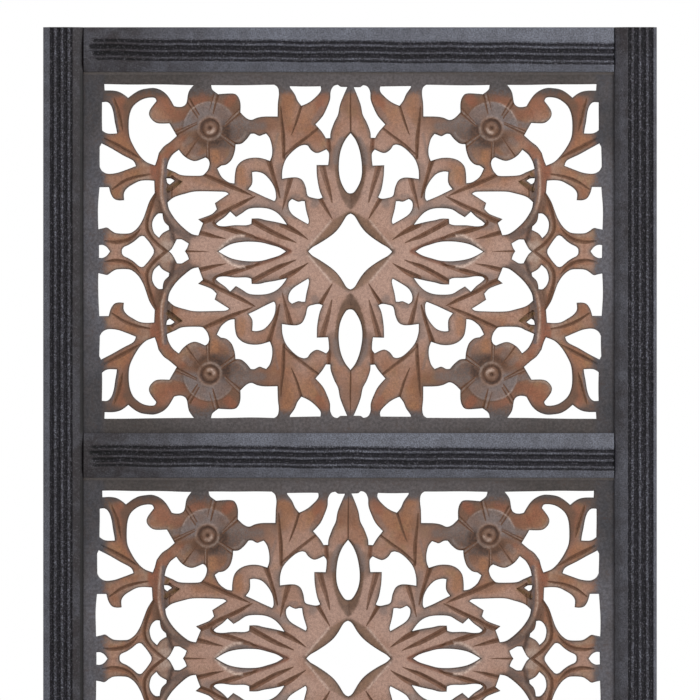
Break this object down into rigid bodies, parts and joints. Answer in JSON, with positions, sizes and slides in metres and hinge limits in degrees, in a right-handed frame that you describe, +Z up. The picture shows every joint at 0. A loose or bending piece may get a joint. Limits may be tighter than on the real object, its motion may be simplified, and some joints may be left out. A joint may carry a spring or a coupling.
{
  "type": "carved wall panel",
  "caption": "Framed openwork wall panel: two pierced and carved boards of leaves, scrolls and flowers in a dark fluted frame of stiles and rails.",
  "frame": {"origin": "centre of the middle rail's back, on the wall plane", "axes": "+X to the right seen from the front, +Y out of the back into the wall, +Z up along the stiles"},
  "size_m": [0.508, 0.025, 0.709],
  "materials": {
    "frame_black": "black stain, rubbed to a low sheen",
    "carved_brown": "brown stain, dark in the cuts and black at the border"
  },
  "bodies": {
    "root": {"stile_left": "frame_black", "stile_right": "frame_black", "rail_top": "frame_black", "rail_middle": "frame_black", "rail_bottom": "frame_black", "carved_board_upper": "carved_brown", "carved_board_lower": "carved_brown"}
  },
  "joints": []
}
